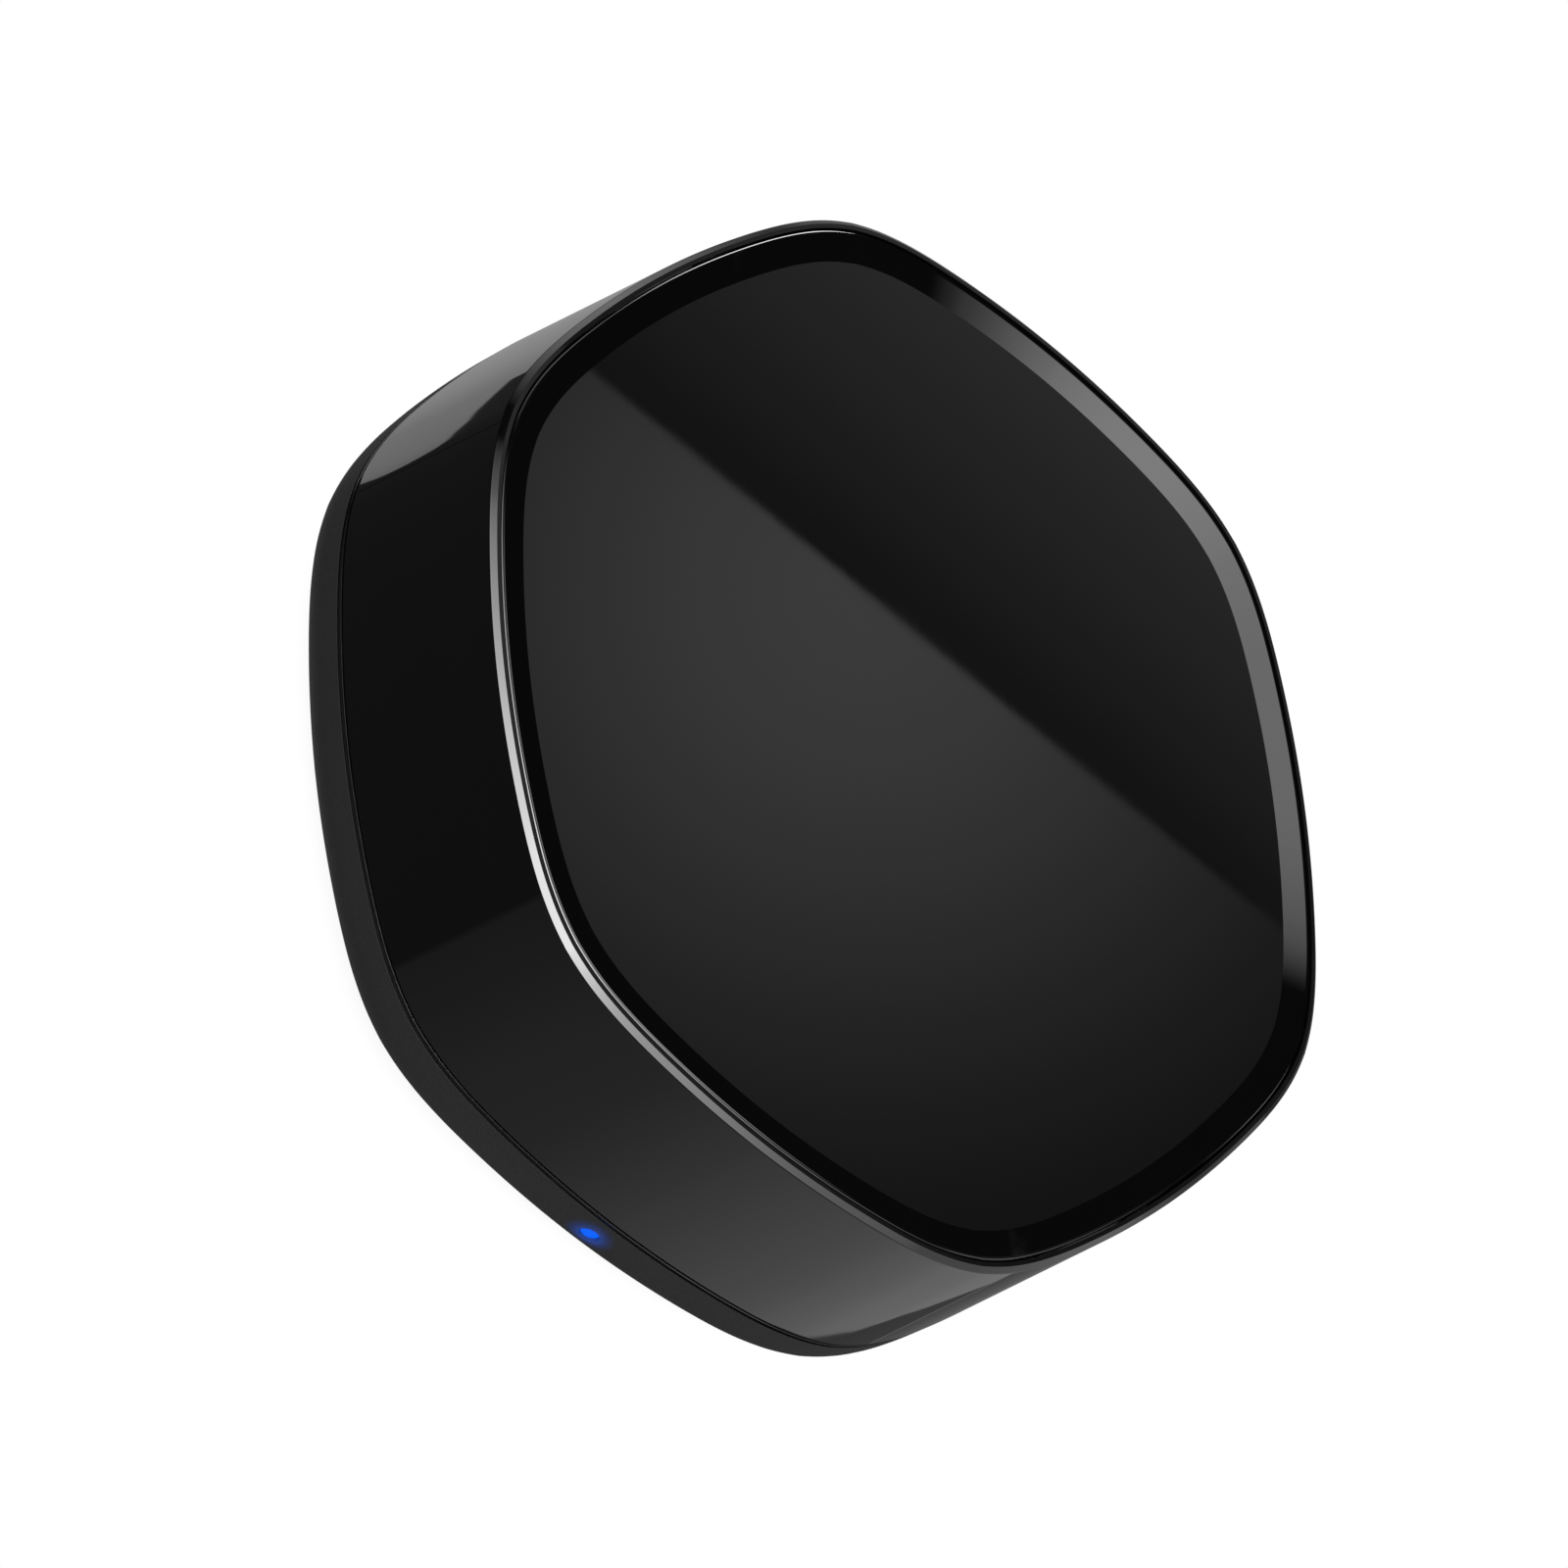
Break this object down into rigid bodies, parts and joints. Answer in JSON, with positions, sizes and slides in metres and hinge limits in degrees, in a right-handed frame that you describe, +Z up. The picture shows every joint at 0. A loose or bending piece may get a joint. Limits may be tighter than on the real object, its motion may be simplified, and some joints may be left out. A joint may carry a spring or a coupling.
{
  "type": "smart home infrared hub",
  "caption": "Glossy black rounded-hexagon infrared hub on a matt base with a rubber ring, a blue status light in front, and a power inlet and a reset button at the back.",
  "frame": {"origin": "on the standing plane, below the centre of the body", "axes": "+Z up out of the glossy top panel, the status light at the front on -Y, the inlet and the reset button at the back on +Y, corners of the hexagon on X"},
  "size_m": [0.0694, 0.066, 0.0215],
  "materials": {
    "panel_black": "polished infrared-pass acrylic",
    "shell_black": "polished infrared-pass plastic",
    "base_black": "fine spark-eroded texture",
    "foot_rubber": "matt elastomer",
    "tape_black": "foam tape",
    "label_grey": "blank polyester film",
    "zinc_steel": "zinc plated",
    "board_green": "solder mask over glass laminate",
    "inlet_steel": "nickel plated, stamped",
    "insulator_black": "moulded nylon",
    "contact_gold": "gold flash",
    "button_black": "moulded, satin",
    "plunger_red": "moulded nylon",
    "led_blue": "blue lamp under clear resin",
    "pipe_clear": "clear acrylic",
    "holder_black": "moulded",
    "emitter_violet": "dark tinted epoxy lens",
    "tinned_wire": "tinned copper or steel",
    "receiver_dark": "dark infrared-pass epoxy",
    "radio_blue": "solder mask over glass laminate",
    "antenna_copper": "copper track",
    "epoxy_black": "moulded epoxy package",
    "can_aluminium": "sleeved aluminium can",
    "winding_copper": "enamelled copper wire",
    "ferrite_grey": "sintered ferrite",
    "ceramic_tan": "ceramic with tinned ends"
  },
  "bodies": {
    "housing": {"top_panel": "panel_black", "panel_tape": "tape_black", "side_shell": "shell_black", "base_tray": "base_black", "foot_ring": "foot_rubber", "rating_label": "label_grey", "base_screws": "zinc_steel", "main_board": "board_green", "usb_shell": "inlet_steel", "usb_tongue": "insulator_black", "usb_contacts": "contact_gold", "switch_body": "epoxy_black", "switch_cover": "inlet_steel", "status_led": "led_blue", "light_pipe": "pipe_clear", "emitter_holder": "holder_black", "side_emitters": "emitter_violet", "side_emitter_leads": "tinned_wire", "top_emitter": "emitter_violet", "top_emitter_leads": "tinned_wire", "ir_receiver": "receiver_dark", "receiver_leads": "tinned_wire", "radio_board": "radio_blue", "radio_shield": "inlet_steel", "radio_antenna": "antenna_copper", "voltage_regulator": "epoxy_black", "regulator_pins": "tinned_wire", "bulk_capacitor": "can_aluminium", "capacitor_base": "insulator_black", "power_inductor": "winding_copper", "inductor_core": "ferrite_grey", "clock_crystal": "zinc_steel", "driver_transistors": "epoxy_black", "ceramic_capacitors": "ceramic_tan", "chip_resistors": "epoxy_black"},
    "button": {"reset_button": "button_black", "switch_plunger": "plunger_red"}
  },
  "joints": [
    {"name": "reset_press", "type": "slide", "parent": "housing", "child": "button", "axis": [0, -1, 0], "range_m": [0, 0.00035], "stiffness_N_per_m": 4000}
  ]
}
